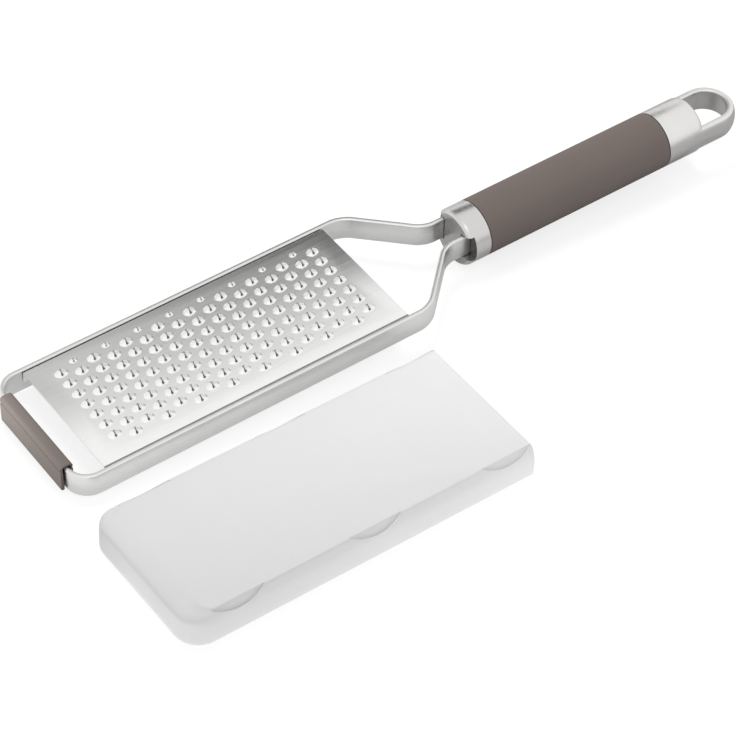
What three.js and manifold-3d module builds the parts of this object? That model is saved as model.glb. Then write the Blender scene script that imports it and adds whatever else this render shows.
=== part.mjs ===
// A hand grater: a bent strip frame that carries a toothed blade, a round handle, and a push-on blade cover.
// Millimetres and degrees, +Z up. The origin is at the bottom centre of the set as it lies on a table.
import * as THREE from "three";
import { mergeVertices } from "three/addons/utils/BufferGeometryUtils.js";
import Module from "manifold-3d";

const wasm = await Module();
wasm.setup();

// Driving dimensions

// Left between two pieces that touch on the real grater
const SEAT_GAP = 0.3;

// Frame strip, on edge: bend radii are those of its middle line
const STRIP_HEIGHT = 10;
const STRIP_THICK = 2;
const HEAD_WIDTH = 59.5;
const NECK_WIDTH = 14.4;
const ARM_ANGLE = 44;
const FRONT_BEND = 8;
const SHOULDER_BEND = 12;
const NECK_BEND = 10;
const FRONT_OPENING = 10.1;
const REAR_OPENING = 8.9;
const NECK_RUN = 8.4;
const TANG_LENGTH = 58;

// Blade: a sheet whose long edges are folded down against the bars
const BLADE_LENGTH = 130;
const BLADE_THICK = 0.6;
const BLADE_RECESS = 0.5;
const BLADE_BEND = 0.8;
const FLANGE_DEPTH = 4.4;

// Tooth field: every second row is a long one, and its outermost far tooth is a small one
const ROWS = 17;
const LONG_ROW = 8;
const ROW_PITCH = 6.8;
const TOOTH_PITCH = 5.93;
const FIELD_AHEAD = 0.4;
const FIELD_ASIDE = 1.3;
const SMALL_TOOTH = 0.6;

// One tooth: a raised oval with a bent slit through it
const TOOTH_WIDTH = 4.2;
const TOOTH_LENGTH = 5.6;
const TOOTH_HEIGHT = 0.9;
const TOOTH_CREST = 3.2;
const SLIT_SPAN = 3.4;
const SLIT_WIDTH = 0.9;
const SLIT_SAG = 0.5;

// Foot: a clip over the front bar
const FOOT_WALL = 1.3;
const FOOT_TOP = 0.8;
const FOOT_DROP = 0.6;
const FOOT_EDGE = 1.6;
const FOOT_END_GAP = 0.25;

// Handle, from the ferrule back: its axis lies a little below the middle of the strip
const HANDLE_DIAMETER = 23;
const HANDLE_DROP = 1.2;
const FERRULE_LENGTH = 10;
const FERRULE_EDGE = 1.5;
const NOTCH_DEPTH = 3;
const GRIP_LENGTH = 86.8;
const GRIP_WALL = 1.1;
const CORE_SEAT = 2.5;
const PIN_DIAMETER = 4;
const PIN_LAST = 15;
const PIN_SPACING = 20;
const STUD_DIAMETER = 6;
const STUD_IN_CORE = 16;
const STUD_IN_CAP = 4.5;

// Rear cap with its hanging loop
const CAP_LENGTH = 17.4;
const CAP_EDGE = 2.2;
const CAP_END_WALL = 7;
const LOOP_STRAIGHT = 10;
const LOOP_HEIGHT = 10;
const LOOP_WALL = 3.4;

// Blade cover: its rim goes down over the upper part of the head, and it is laid beside the head
const COVER_WALL = 1.2;
const COVER_CLEARANCE = 0.3;
const COVER_OVERLAP = 6;
const COVER_HEADROOM = 4;
const COVER_OVERRUN = 0.3;
const COVER_LEAN = 2.9;
const LEAN_POWER = 4;
const COVER_NOSE = 8;
const NOSE_POWER = 9;
const COVER_CORNER = 9.5;
const COVER_LEAD = 3.1;
const COVER_ASIDE = 12.7;
const COVER_TURN = 0.7;
const SCOOPS = 3;
const SCOOP_FIRST = 20.7;
const SCOOP_LAST = 10.8;
const SCOOP_RADIUS = 18;
const SCOOP_BELOW = 3.3;
const SCOOP_DEPTH = 0.8;
const SCOOP_TILT = 30;

// Fineness of the facets, and how far a cutting tool runs past what it cuts
const ROUND_SIDES = 40;
const BORE_SIDES = 20;
const ARC_STEPS = 5;
const TOOTH_SIDES = 6;
const COVER_LEVELS = 7;
const CUT_PAST = 1;
const MERGE_DISTANCE = 1e-4;

// Finishes
const satinSteel = new THREE.MeshStandardMaterial({ color: 0xc6c6c4, roughness: 0.35, metalness: 1 });
const bladeSteel = new THREE.MeshStandardMaterial({ color: 0xd0d0d0, roughness: 0.28, metalness: 1 });
const brushedSteel = new THREE.MeshStandardMaterial({ color: 0xcfcecb, roughness: 0.4, metalness: 1 });
const taupeGrip = new THREE.MeshStandardMaterial({ color: 0x6f6661, roughness: 0.7, metalness: 0 });
const taupeSilicone = new THREE.MeshStandardMaterial({ color: 0x6b6560, roughness: 0.65, metalness: 0 });
const corePolymer = new THREE.MeshStandardMaterial({ color: 0x3a3836, roughness: 0.7, metalness: 0 });
const frostedPlastic = new THREE.MeshStandardMaterial({ color: 0xe6e6e6, roughness: 0.5, metalness: 0 });

// A closed three.js geometry as a solid that can be joined and cut
function toSolid(geometry) {
  const bare = geometry.clone();
  bare.deleteAttribute("normal");
  bare.deleteAttribute("uv");
  const merged = mergeVertices(bare, MERGE_DISTANCE);
  const corners = merged.index.array;
  const triVerts = [];
  for (let i = 0; i < corners.length; i += 3) {
    const [a, b, c] = corners.slice(i, i + 3);
    if (a !== b && b !== c && c !== a) triVerts.push(a, b, c);
  }
  const vertProperties = merged.attributes.position.array;
  return new wasm.Manifold(
    new wasm.Mesh({ numProp: 3, vertProperties, triVerts: new Uint32Array(triVerts) }),
  );
}

// A finished solid as a named mesh
function toMesh(name, solid, material) {
  const { vertProperties, triVerts } = solid.getMesh();
  const geometry = new THREE.BufferGeometry();
  geometry.setAttribute("position", new THREE.BufferAttribute(vertProperties, 3));
  geometry.setIndex(new THREE.BufferAttribute(triVerts, 1));
  geometry.computeVertexNormals();
  const mesh = new THREE.Mesh(geometry, material);
  mesh.name = name;
  return mesh;
}

// A block between two corners
function block(low, high) {
  const size = high.clone().sub(low);
  const middle = high.clone().add(low).multiplyScalar(0.5);
  return toSolid(new THREE.BoxGeometry(size.x, size.y, size.z).translate(middle.x, middle.y, middle.z));
}

// A flat outline in X and Y raised from one height to another
function raise(shape, low, high) {
  const settings = { depth: high - low, bevelEnabled: false, curveSegments: ARC_STEPS };
  return toSolid(new THREE.ExtrudeGeometry(shape, settings).translate(0, 0, low));
}

// A profile of radius against length, turned about the X axis
function turn(points) {
  const profile = points.map(([radius, along]) => new THREE.Vector2(radius, along));
  return toSolid(new THREE.LatheGeometry(profile, ROUND_SIDES).rotateZ(-Math.PI / 2));
}

// A round rod along X
function rodAlong(radius, from, to) {
  const rod = new THREE.CylinderGeometry(radius, radius, to - from, BORE_SIDES);
  return toSolid(rod.rotateZ(-Math.PI / 2).translate((from + to) / 2, 0, 0));
}

// A round rod across the handle, along Y
function rodAcross(radius, length, x, z) {
  return toSolid(new THREE.CylinderGeometry(radius, radius, length, BORE_SIDES).translate(x, 0, z));
}

// Points of a quarter round in a turned profile, from one angle to another
function quarterRound(radius, along, edge, from, to) {
  const points = [];
  for (let step = 0; step <= ARC_STEPS; step++) {
    const angle = THREE.MathUtils.degToRad(from + ((to - from) * step) / ARC_STEPS);
    points.push([radius + edge * Math.cos(angle), along + edge * Math.sin(angle)]);
  }
  return points;
}

// Places along the grater, with X = 0 at the middle of the blade and Z = 0 at half the strip's height
const barMiddle = (HEAD_WIDTH - STRIP_THICK) / 2;
const tangMiddle = (NECK_WIDTH - STRIP_THICK) / 2;
const frontMiddle = -BLADE_LENGTH / 2 - FRONT_OPENING - STRIP_THICK / 2;
const shoulderX = BLADE_LENGTH / 2 + REAR_OPENING;
const neckX = shoulderX + (barMiddle - tangMiddle) / Math.tan(THREE.MathUtils.degToRad(ARM_ANGLE));
const ferruleFront = neckX + NECK_RUN;
const handleRadius = HANDLE_DIAMETER / 2;

// Places along the handle, from the ferrule's front face
const gripStart = FERRULE_LENGTH + SEAT_GAP;
const capStart = gripStart + GRIP_LENGTH + SEAT_GAP;
const capEnd = capStart + CAP_LENGTH;
const sleeveBore = handleRadius - GRIP_WALL;
const coreRadius = sleeveBore - SEAT_GAP;
const coreStart = FERRULE_LENGTH - CORE_SEAT;
const recessEnd = capEnd - CAP_END_WALL;
const coreEnd = recessEnd - SEAT_GAP;
const lastPin = TANG_LENGTH - PIN_LAST;
const pinPlaces = [lastPin - PIN_SPACING, lastPin];
const pinBore = PIN_DIAMETER / 2 + SEAT_GAP;
const studBore = STUD_DIAMETER / 2 + SEAT_GAP;

// One face of the bent strip: its middle line with rounded corners, moved sideways
function bentFace(corners, bends, offset) {
  const ways = corners.slice(1).map((corner, i) => corner.clone().sub(corners[i]).normalize());
  const sides = ways.map((way) => new THREE.Vector2(-way.y, way.x));
  const points = [corners[0].clone().addScaledVector(sides[0], offset)];
  bends.forEach((bend, i) => {
    const turned = Math.atan2(ways[i].cross(ways[i + 1]), ways[i].dot(ways[i + 1]));
    const hand = Math.sign(turned);
    const back = bend * Math.tan(Math.abs(turned) / 2);
    const start = corners[i + 1].clone().addScaledVector(ways[i], -back);
    const centre = start.clone().addScaledVector(sides[i], hand * bend);
    const spoke = sides[i].clone().multiplyScalar(-hand * (bend - hand * offset));
    for (let step = 0; step <= ARC_STEPS; step++) {
      const point = centre.clone().add(spoke);
      points.push(point.rotateAround(centre, (turned * step) / ARC_STEPS));
    }
  });
  points.push(corners.at(-1).clone().addScaledVector(sides.at(-1), offset));
  return points;
}

// Frame: one strip from the end of one tang round the head to the end of the other
function makeFrame() {
  const tangEnd = ferruleFront + TANG_LENGTH;
  const half = [
    [tangEnd, tangMiddle],
    [neckX, tangMiddle],
    [shoulderX, barMiddle],
    [frontMiddle, barMiddle],
  ];
  const otherHalf = half.map(([x, y]) => [x, -y]).reverse();
  const corners = [...half, ...otherHalf].map(([x, y]) => new THREE.Vector2(x, y));
  const bends = [NECK_BEND, SHOULDER_BEND, FRONT_BEND, FRONT_BEND, SHOULDER_BEND, NECK_BEND];
  const outer = bentFace(corners, bends, -STRIP_THICK / 2);
  const inner = bentFace(corners, bends, STRIP_THICK / 2);
  const outline = new THREE.Shape([...outer, ...inner.reverse()]);
  let strip = raise(outline, -STRIP_HEIGHT / 2, STRIP_HEIGHT / 2);
  for (const place of pinPlaces)
    strip = strip.subtract(rodAcross(pinBore, NECK_WIDTH + CUT_PAST, ferruleFront + place, -HANDLE_DROP));
  return toMesh("frame_strip", strip, satinSteel);
}

const bladeTop = STRIP_HEIGHT / 2 - BLADE_RECESS;

// Section of the blade across the grater: a sheet with both edges folded down
function makeSheet() {
  const half = HEAD_WIDTH / 2 - STRIP_THICK - SEAT_GAP;
  const foldY = half - BLADE_BEND;
  const foldZ = bladeTop - BLADE_BEND;
  const bottom = bladeTop - FLANGE_DEPTH;
  const innerBend = BLADE_BEND - BLADE_THICK;
  const section = new THREE.Shape();
  section.moveTo(-half, bottom);
  section.lineTo(-half, foldZ);
  section.absarc(-foldY, foldZ, BLADE_BEND, Math.PI, Math.PI / 2, true);
  section.absarc(foldY, foldZ, BLADE_BEND, Math.PI / 2, 0, true);
  section.lineTo(half, bottom);
  section.lineTo(half - BLADE_THICK, bottom);
  section.absarc(foldY, foldZ, innerBend, 0, Math.PI / 2, false);
  section.absarc(-foldY, foldZ, innerBend, Math.PI / 2, Math.PI, false);
  section.lineTo(-half + BLADE_THICK, bottom);
  const settings = { depth: BLADE_LENGTH, bevelEnabled: false, curveSegments: ARC_STEPS };
  const along = new THREE.Matrix4().makeBasis(
    new THREE.Vector3(0, 1, 0),
    new THREE.Vector3(0, 0, 1),
    new THREE.Vector3(1, 0, 0),
  );
  const sheet = new THREE.ExtrudeGeometry(section, settings).translate(0, 0, -BLADE_LENGTH / 2);
  return toSolid(sheet.applyMatrix4(along));
}

// Raised oval of one tooth, rooted in the sheet
function toothBump(x, y, size) {
  const foot = bladeTop - BLADE_THICK / 2;
  const height = TOOTH_HEIGHT + BLADE_THICK / 2;
  const crest = TOOTH_CREST / TOOTH_WIDTH;
  const facet = Math.PI / TOOTH_SIDES;
  const bump = new THREE.CylinderGeometry(crest, 1, height, TOOTH_SIDES, 1, false, facet);
  const across = (size * TOOTH_WIDTH) / 2 / Math.cos(facet);
  bump.rotateX(Math.PI / 2).scale((size * TOOTH_LENGTH) / 2, across, 1);
  return toSolid(bump.translate(x, y, foot + height / 2));
}

// Slit of one tooth, right through the sheet, with its ends bent towards the handle
function toothSlit(x, y, size) {
  const shares = [-1, 0, 1];
  const face = (edge) =>
    shares.map((share) => {
      const bent = SLIT_SAG * (share * share - 1 / 2);
      return new THREE.Vector2(x + size * (bent + edge), y + (size * share * SLIT_SPAN) / 2);
    });
  const outline = new THREE.Shape([...face(SLIT_WIDTH / 2), ...face(-SLIT_WIDTH / 2).reverse()]);
  return raise(outline, bladeTop - BLADE_THICK - CUT_PAST, bladeTop + TOOTH_HEIGHT + CUT_PAST);
}

// Blade: the folded sheet with its rows of teeth
function makeBlade() {
  let blade = makeSheet();
  for (let row = 0; row < ROWS; row++) {
    const x = FIELD_AHEAD + (row - (ROWS - 1) / 2) * ROW_PITCH;
    const isLong = row % 2 === 1;
    const teeth = isLong ? LONG_ROW : LONG_ROW - 1;
    for (let tooth = 0; tooth < teeth; tooth++) {
      const y = FIELD_ASIDE + ((teeth - 1) / 2 - tooth) * TOOTH_PITCH;
      const size = isLong && tooth === 0 ? SMALL_TOOTH : 1;
      blade = blade.add(toothBump(x, y, size)).subtract(toothSlit(x, y, size));
    }
  }
  return toMesh("grating_blade", blade, bladeSteel);
}

const footHalf = STRIP_THICK / 2 + SEAT_GAP + FOOT_WALL;
const footTop = STRIP_HEIGHT / 2 + SEAT_GAP + FOOT_TOP;
const footBottom = -STRIP_HEIGHT / 2 - FOOT_DROP;

// Foot: a U section along the straight stretch of the front bar
function makeFoot() {
  const length = HEAD_WIDTH - 2 * (FRONT_BEND + STRIP_THICK / 2 + FOOT_END_GAP);
  const slot = STRIP_THICK / 2 + SEAT_GAP;
  const slotTop = STRIP_HEIGHT / 2 + SEAT_GAP;
  const section = new THREE.Shape();
  section.moveTo(-footHalf, footBottom);
  section.lineTo(-slot, footBottom);
  section.lineTo(-slot, slotTop);
  section.lineTo(slot, slotTop);
  section.lineTo(slot, footBottom);
  section.lineTo(footHalf, footBottom);
  section.absarc(footHalf - FOOT_EDGE, footTop - FOOT_EDGE, FOOT_EDGE, 0, Math.PI / 2, false);
  section.absarc(-footHalf + FOOT_EDGE, footTop - FOOT_EDGE, FOOT_EDGE, Math.PI / 2, Math.PI, false);
  const settings = { depth: length, bevelEnabled: false, curveSegments: ARC_STEPS };
  const foot = new THREE.ExtrudeGeometry(section, settings).translate(0, 0, -length / 2);
  return toMesh("front_foot", toSolid(foot.rotateX(Math.PI / 2).translate(frontMiddle, 0, 0)), taupeSilicone);
}

// Room for the two tangs in the ferrule and the core, in the handle's own frame
function tangSlots(from, to, outerFace) {
  const high = HANDLE_DROP + STRIP_HEIGHT / 2 + SEAT_GAP;
  const low = HANDLE_DROP - STRIP_HEIGHT / 2 - SEAT_GAP;
  const innerFace = tangMiddle - STRIP_THICK / 2 - SEAT_GAP;
  const far = block(new THREE.Vector3(from, innerFace, low), new THREE.Vector3(to, outerFace, high));
  const near = block(new THREE.Vector3(from, -outerFace, low), new THREE.Vector3(to, -innerFace, high));
  return far.add(near);
}

const slotOuterFace = NECK_WIDTH / 2 + SEAT_GAP;

// Ferrule: a ring with a front wall that the tangs pass through, notched at its rounded front edge
function makeFerrule() {
  const wallEnd = coreStart - SEAT_GAP;
  const ring = turn([
    [0, 0],
    ...quarterRound(handleRadius - FERRULE_EDGE, FERRULE_EDGE, FERRULE_EDGE, -90, 0),
    [handleRadius, FERRULE_LENGTH],
    [sleeveBore, FERRULE_LENGTH],
    [sleeveBore, wallEnd],
    [0, wallEnd],
  ]);
  const slots = tangSlots(-CUT_PAST, FERRULE_LENGTH, slotOuterFace);
  const notches = tangSlots(-CUT_PAST, NOTCH_DEPTH, handleRadius + CUT_PAST);
  return toMesh("front_ferrule", ring.subtract(slots).subtract(notches), brushedSteel);
}

// Grip: a plain sleeve over the core
function makeGrip() {
  const sleeve = turn([
    [sleeveBore, gripStart],
    [handleRadius, gripStart],
    [handleRadius, gripStart + GRIP_LENGTH],
    [sleeveBore, gripStart + GRIP_LENGTH],
    [sleeveBore, gripStart],
  ]);
  return toMesh("grip_sleeve", sleeve, taupeGrip);
}

// Core: a round bar with slots for the tangs, cross bores for the pins and an end bore for the stud
function makeCore() {
  let core = turn([
    [0, coreStart],
    [coreRadius, coreStart],
    [coreRadius, coreEnd],
    [0, coreEnd],
  ]);
  core = core.subtract(tangSlots(coreStart - CUT_PAST, TANG_LENGTH + SEAT_GAP, slotOuterFace));
  core = core.subtract(rodAlong(studBore, coreEnd - STUD_IN_CORE - SEAT_GAP, coreEnd + CUT_PAST));
  for (const place of pinPlaces) core = core.subtract(rodAcross(pinBore, HANDLE_DIAMETER, place, 0));
  return toMesh("handle_core", core, corePolymer);
}

// Pins: across the core and both tangs, with their ends under the sleeve
function makePins() {
  const radius = PIN_DIAMETER / 2;
  const half = Math.sqrt(sleeveBore ** 2 - radius ** 2) - SEAT_GAP;
  const names = ["tang_pin_front", "tang_pin_rear"];
  return pinPlaces.map((place, i) => toMesh(names[i], rodAcross(radius, 2 * half, place, 0), satinSteel));
}

// Stud: holds the rear cap to the core
function makeStud() {
  const stud = rodAlong(STUD_DIAMETER / 2, coreEnd - STUD_IN_CORE, recessEnd + STUD_IN_CAP);
  return toMesh("cap_stud", stud, satinSteel);
}

// Rear cap: a hollow round end, and a loop that is a flattened round bar with a D-shaped eye
function makeCap() {
  const body = turn([
    [0, recessEnd],
    [sleeveBore, recessEnd],
    [sleeveBore, capStart],
    [handleRadius, capStart],
    ...quarterRound(handleRadius - CAP_EDGE, capEnd - CAP_EDGE, CAP_EDGE, 0, 90),
    [0, capEnd],
  ]);
  const loopStart = capEnd - CAP_EDGE;
  const eyeCentre = capEnd + LOOP_STRAIGHT;
  const dome = quarterRound(0, eyeCentre, handleRadius, 0, 90);
  dome.at(-1)[0] = 0;
  const bar = turn([[0, loopStart], [handleRadius, loopStart], ...dome]);
  const reach = handleRadius + CUT_PAST;
  const slab = block(
    new THREE.Vector3(loopStart - CUT_PAST, -reach, -LOOP_HEIGHT / 2),
    new THREE.Vector3(eyeCentre + reach, reach, LOOP_HEIGHT / 2),
  );
  const eyeRadius = handleRadius - LOOP_WALL;
  const eye = new THREE.Shape();
  eye.moveTo(capEnd, eyeRadius);
  eye.lineTo(capEnd, -eyeRadius);
  eye.absarc(eyeCentre, 0, eyeRadius, -Math.PI / 2, Math.PI / 2, false);
  const loop = bar.intersect(slab).subtract(raise(eye, -LOOP_HEIGHT, LOOP_HEIGHT));
  const studHole = rodAlong(studBore, recessEnd - CUT_PAST, recessEnd + STUD_IN_CAP + SEAT_GAP);
  return toMesh("rear_cap", body.add(loop).subtract(studHole), brushedSteel);
}

const coverWidth = HEAD_WIDTH + 2 * (COVER_CLEARANCE + COVER_WALL);
const coverHeight = COVER_OVERLAP + footTop - STRIP_HEIGHT / 2 + COVER_HEADROOM + COVER_WALL;
const footFront = frontMiddle - footHalf;
const coverLength = BLADE_LENGTH / 2 - footFront + COVER_CLEARANCE + COVER_WALL + COVER_OVERRUN;
const coverInside = coverHeight - COVER_WALL;

// How far the cover's long walls lean in at a share of its height: most of it is a shoulder at the top
function coverLean(share) {
  return COVER_LEAN * share ** LEAN_POWER;
}

// How far its front wall leans in: the top runs down to it in a rounded nose
function coverNose(share) {
  return COVER_NOSE * share ** NOSE_POWER;
}

// Outline of the cover from above, inside a wall: square at the open rear end, rounded at the front
function coverOutline(share, wall, rear) {
  const half = coverWidth / 2 - wall - coverLean(share);
  const front = -coverLength / 2 + wall + coverNose(share);
  const corner = COVER_CORNER - wall - coverLean(share);
  const outline = new THREE.Path();
  outline.moveTo(rear, -half);
  outline.lineTo(rear, half);
  outline.absarc(front + corner, half - corner, corner, Math.PI / 2, Math.PI, false);
  outline.absarc(front + corner, corner - half, corner, Math.PI, (3 * Math.PI) / 2, false);
  return outline.getPoints(ARC_STEPS);
}

// A solid through outlines of equal count at rising heights
function loft(outlines, heights) {
  const count = outlines[0].length;
  const positions = outlines.flatMap((points, level) => points.flatMap(({ x, y }) => [x, y, heights[level]]));
  const faces = [];
  for (let level = 0; level + 1 < outlines.length; level++)
    for (let i = 0; i < count; i++) {
      const here = level * count + i;
      const next = level * count + ((i + 1) % count);
      faces.push(here, next, next + count, here, next + count, here + count);
    }
  const last = (outlines.length - 1) * count;
  for (const [a, b, c] of THREE.ShapeUtils.triangulateShape(outlines[0], [])) faces.push(a, c, b);
  for (const [a, b, c] of THREE.ShapeUtils.triangulateShape(outlines.at(-1), []))
    faces.push(last + a, last + b, last + c);
  const geometry = new THREE.BufferGeometry();
  geometry.setAttribute("position", new THREE.Float32BufferAttribute(positions, 3));
  return toSolid(geometry.setIndex(faces));
}

// A round cutting tool for a scoop: its flat end leans in, and it bites deepest into the shoulder
function scoopTool(x, side) {
  const tilt = THREE.MathUtils.degToRad(SCOOP_TILT);
  const lipHeight = coverHeight - SCOOP_BELOW;
  const lip = coverWidth / 2 - coverLean(lipHeight / coverHeight) - SCOOP_DEPTH;
  const tool = new THREE.CylinderGeometry(SCOOP_RADIUS, SCOOP_RADIUS, SCOOP_RADIUS, ROUND_SIDES);
  const y = lip - SCOOP_RADIUS * Math.sin(tilt) + (SCOOP_RADIUS / 2) * Math.cos(tilt);
  const z = lipHeight + SCOOP_RADIUS * Math.cos(tilt) + (SCOOP_RADIUS / 2) * Math.sin(tilt);
  return toSolid(tool.rotateX(side * tilt).translate(x, side * y, z));
}

// Cover: a shell open below and behind, with shallow scoops in the shoulders of both long walls
function makeCover() {
  const levels = Array.from({ length: COVER_LEVELS + 1 }, (_, level) => 1 - (1 - level / COVER_LEVELS) ** 2);
  const rear = coverLength / 2;
  const outer = loft(
    levels.map((share) => coverOutline(share, 0, rear)),
    levels.map((share) => share * coverHeight),
  );
  const inner = loft(
    [0, ...levels].map((share) => coverOutline(share, COVER_WALL, rear + CUT_PAST)),
    [-CUT_PAST, ...levels.map((share) => share * coverInside)],
  );
  let cover = outer.subtract(inner);
  const spacing = (coverLength - SCOOP_FIRST - SCOOP_LAST) / (SCOOPS - 1);
  for (let scoop = 0; scoop < SCOOPS; scoop++) {
    const middle = SCOOP_FIRST + scoop * spacing - coverLength / 2;
    for (const side of [-1, 1]) cover = cover.subtract(scoopTool(middle, side));
  }
  return toMesh("blade_cover", cover, frostedPlastic);
}

// Handle, in its own frame from the ferrule's front face
const handle = new THREE.Group();
handle.add(makeFerrule(), makeGrip(), makeCore(), ...makePins(), makeStud(), makeCap());
handle.position.set(ferruleFront, 0, -HANDLE_DROP);

// The grater lies on its foot's front edge and its ferrule's lower edge, so its rear end tips up a little
const edgeAlong = ferruleFront + FERRULE_EDGE - footFront;
const edgeBelow = footBottom + HANDLE_DROP + handleRadius - FERRULE_EDGE;
const edgeAway = Math.hypot(edgeAlong, edgeBelow);
const pitch = Math.atan2(edgeBelow, edgeAlong) + Math.asin(FERRULE_EDGE / edgeAway);
const grater = new THREE.Group();
grater.add(makeFrame(), makeBlade(), makeFoot(), handle);
grater.rotation.y = -pitch;
const footFrontOnTable = footFront * Math.cos(pitch) - footBottom * Math.sin(pitch);
grater.position.z = -(footFront * Math.sin(pitch) + footBottom * Math.cos(pitch));

// The cover stands open side down beside the head, turned a little
const cover = makeCover();
const coverBeside = HEAD_WIDTH / 2 + COVER_ASIDE + coverWidth / 2;
cover.position.set(footFrontOnTable - COVER_LEAD + coverLength / 2, -coverBeside, 0);
cover.rotation.z = THREE.MathUtils.degToRad(COVER_TURN);

// The whole set, moved so that the origin is at its bottom centre
const set = new THREE.Group();
set.add(grater, cover);
const box = new THREE.Box3().setFromObject(set, true);
const centre = box.getCenter(new THREE.Vector3());
set.position.set(-centre.x, -centre.y, -box.min.z);
const root = new THREE.Group();
root.add(set);

export default root;
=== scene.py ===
# %% [markdown]
# # A fine grater and its blade cover
# The grater is a flat steel strip bent round a toothed sheet, with both ends of the strip held in a round
# handle. A frosted cover that is pushed over the teeth stands beside it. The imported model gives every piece
# its place, so this lesson only makes each piece finer and gives it its finish. Lengths are in millimetres
# until a piece is put in its place, because that is how such a tool is drawn.

# %% Load the frame
import math

import bmesh
import bpy
from mathutils import Matrix, Vector


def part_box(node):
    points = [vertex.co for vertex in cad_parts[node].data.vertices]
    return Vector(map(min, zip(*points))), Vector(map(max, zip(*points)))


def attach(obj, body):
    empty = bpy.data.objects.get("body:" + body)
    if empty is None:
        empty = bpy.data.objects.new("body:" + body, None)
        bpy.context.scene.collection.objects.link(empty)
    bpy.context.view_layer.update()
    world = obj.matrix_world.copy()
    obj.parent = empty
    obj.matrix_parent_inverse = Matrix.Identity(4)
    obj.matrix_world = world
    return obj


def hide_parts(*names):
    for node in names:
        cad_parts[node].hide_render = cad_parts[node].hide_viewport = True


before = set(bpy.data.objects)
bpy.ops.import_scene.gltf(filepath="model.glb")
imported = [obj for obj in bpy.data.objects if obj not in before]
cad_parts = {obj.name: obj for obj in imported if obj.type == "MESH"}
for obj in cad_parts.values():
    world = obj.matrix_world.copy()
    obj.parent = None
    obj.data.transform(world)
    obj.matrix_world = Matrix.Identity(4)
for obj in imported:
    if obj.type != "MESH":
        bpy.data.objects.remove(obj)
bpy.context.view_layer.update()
MM = 0.001

# %% [markdown]
# ## Three places to work in
# The grater lies tipped a little, because its handle is thicker than its head. The two hidden pins lie on
# the handle's axis, so a line through them gives that tip exactly. Each piece is then modelled square to
# its own axes, which keeps the numbers plain, and turned into place at the end. The handle's frame starts
# at the ferrule's front face, the head's at the middle of the blade, and the cover has one of its own.

# %% The handle's frame
PIN_FIRST = 23


def middle_of(node):
    """Middle of a CAD node's box."""
    low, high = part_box(node)
    return (low + high) / 2


front_pin = middle_of("tang_pin_front")
along = (middle_of("tang_pin_rear") - front_pin).normalized()
across = Vector((0, 1, 0))
upward = along.cross(across)
handle_turn = Matrix((along, across, upward)).transposed().to_4x4()
HANDLE_PLACE = Matrix.Translation(front_pin - along * PIN_FIRST * MM) @ handle_turn
TIP = math.atan2(along.z, along.x)
print("the grater is tipped by", round(math.degrees(TIP), 2), "degrees")

# %% The strip's corners, and the head's frame
SEAT_GAP = 0.3
STRIP_HEIGHT = 10
STRIP_THICK = 2
HEAD_WIDTH = 59.5
NECK_WIDTH = 14.4
ARM_ANGLE = math.radians(44)
FRONT_OPENING = 10.1
REAR_OPENING = 8.9
NECK_RUN = 8.4
TANG_LENGTH = 58
BLADE_LENGTH = 130
HANDLE_DROP = 1.2

bar_middle = (HEAD_WIDTH - STRIP_THICK) / 2
tang_middle = (NECK_WIDTH - STRIP_THICK) / 2
front_middle = -BLADE_LENGTH / 2 - FRONT_OPENING - STRIP_THICK / 2
shoulder_x = BLADE_LENGTH / 2 + REAR_OPENING
neck_x = shoulder_x + (bar_middle - tang_middle) / math.tan(ARM_ANGLE)
ferrule_front = neck_x + NECK_RUN
HEAD_PLACE = HANDLE_PLACE @ Matrix.Translation(Vector((-ferrule_front, 0, HANDLE_DROP)) * MM)
print("the ferrule starts", round(ferrule_front, 1), "mm behind the middle of the blade")

# %% [markdown]
# ## Helpers
# A piece starts as a bmesh, becomes an object, takes its modifiers one at a time, and is then moved into
# place in its mesh. Doing the moving last means that bevel widths and wall thicknesses are plain
# millimetres, and that the finished object itself sits at the origin as the frame asks.

# %% Helpers that shape a bmesh
NEAR = 1e-4


def of_kind(items, kind):
    """Those of an operator's results that are vertices, edges or faces."""
    return [item for item in items if isinstance(item, kind)]


def draw_edges(bm, edges, way):
    """Extrudes edges into a wall along a way."""
    made = bmesh.ops.extrude_edge_only(bm, edges=edges)["geom"]
    bmesh.ops.translate(bm, vec=way, verts=of_kind(made, bmesh.types.BMVert))


def draw_faces(bm, faces, way):
    """Extrudes faces along a way and gives all that it made."""
    made = bmesh.ops.extrude_face_region(bm, geom=faces)["geom"]
    bmesh.ops.translate(bm, vec=way, verts=of_kind(made, bmesh.types.BMVert))
    return made


def bevel(bm, geom, offset, segments, affect="EDGES"):
    """Rounds some edges, or the corners of a flat face."""
    bmesh.ops.bevel(
        bm,
        geom=geom,
        offset=offset,
        offset_type="OFFSET",
        affect=affect,
        segments=segments,
        profile=0.5,
        material=-1,
    )


# %% Helpers that turn a bmesh into a finished piece
def to_object(name, bm):
    """A new object that holds the bmesh."""
    mesh = bpy.data.meshes.new(name)
    bm.to_mesh(mesh)
    bm.free()
    made = bpy.data.objects.new(name, mesh)
    bpy.context.collection.objects.link(made)
    return made


def apply_modifier(piece, kind, **settings):
    """Adds one modifier and keeps its result as the piece's mesh."""
    modifier = piece.modifiers.new(kind.title(), kind)
    for setting, value in settings.items():
        setattr(modifier, setting, value)
    graph = bpy.context.evaluated_depsgraph_get()
    shaped = bpy.data.meshes.new_from_object(piece.evaluated_get(graph))
    piece.modifiers.clear()
    before = piece.data
    piece.data = shaped
    bpy.data.meshes.remove(before)


def round_edges(piece, width, segments, angle=50):
    """Rounds every edge that turns by more than the angle."""
    limit = math.radians(angle)
    apply_modifier(
        piece, "BEVEL", width=width, segments=segments, limit_method="ANGLE", angle_limit=limit
    )


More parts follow.
